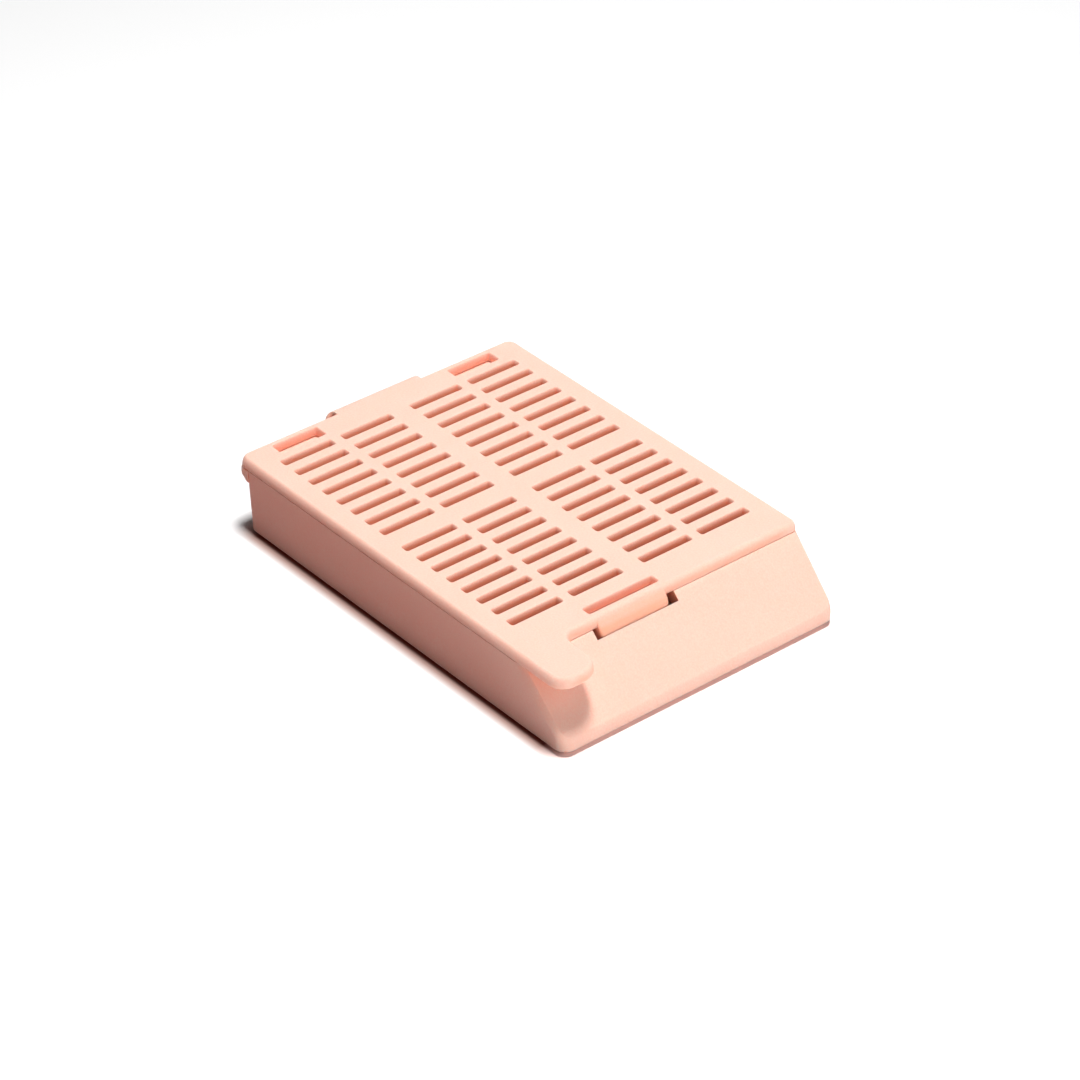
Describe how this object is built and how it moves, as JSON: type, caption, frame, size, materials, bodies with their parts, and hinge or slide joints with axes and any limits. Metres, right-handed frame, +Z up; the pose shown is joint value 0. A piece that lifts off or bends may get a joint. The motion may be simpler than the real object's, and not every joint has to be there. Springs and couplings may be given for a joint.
{
  "type": "tissue cassette",
  "caption": "Slotted laboratory tray with a sloped writing plate and a slotted snap lid that folds over on a moulded strap hinge.",
  "frame": {"origin": "on the resting plane, under the middle of the outline with the lid closed", "axes": "+Z up through the lid, +Y from the writing plate towards the hinge, +X to the right seen from the writing plate"},
  "size_m": [0.0282, 0.0406, 0.007],
  "materials": {
    "acetal": "salmon pink acetal copolymer, fine matte moulded texture, slightly translucent"
  },
  "bodies": {
    "tray": {"base": "acetal", "strap_hinge": "acetal"},
    "lid": {"lid": "acetal"}
  },
  "joints": [
    {"name": "lid_hinge", "type": "hinge", "parent": "tray", "child": "lid", "pos_m": [0, 0.02011, 0.00637], "axis": [-1, 0, 0], "range_deg": [0, 180], "deforming": ["strap_hinge"]}
  ]
}
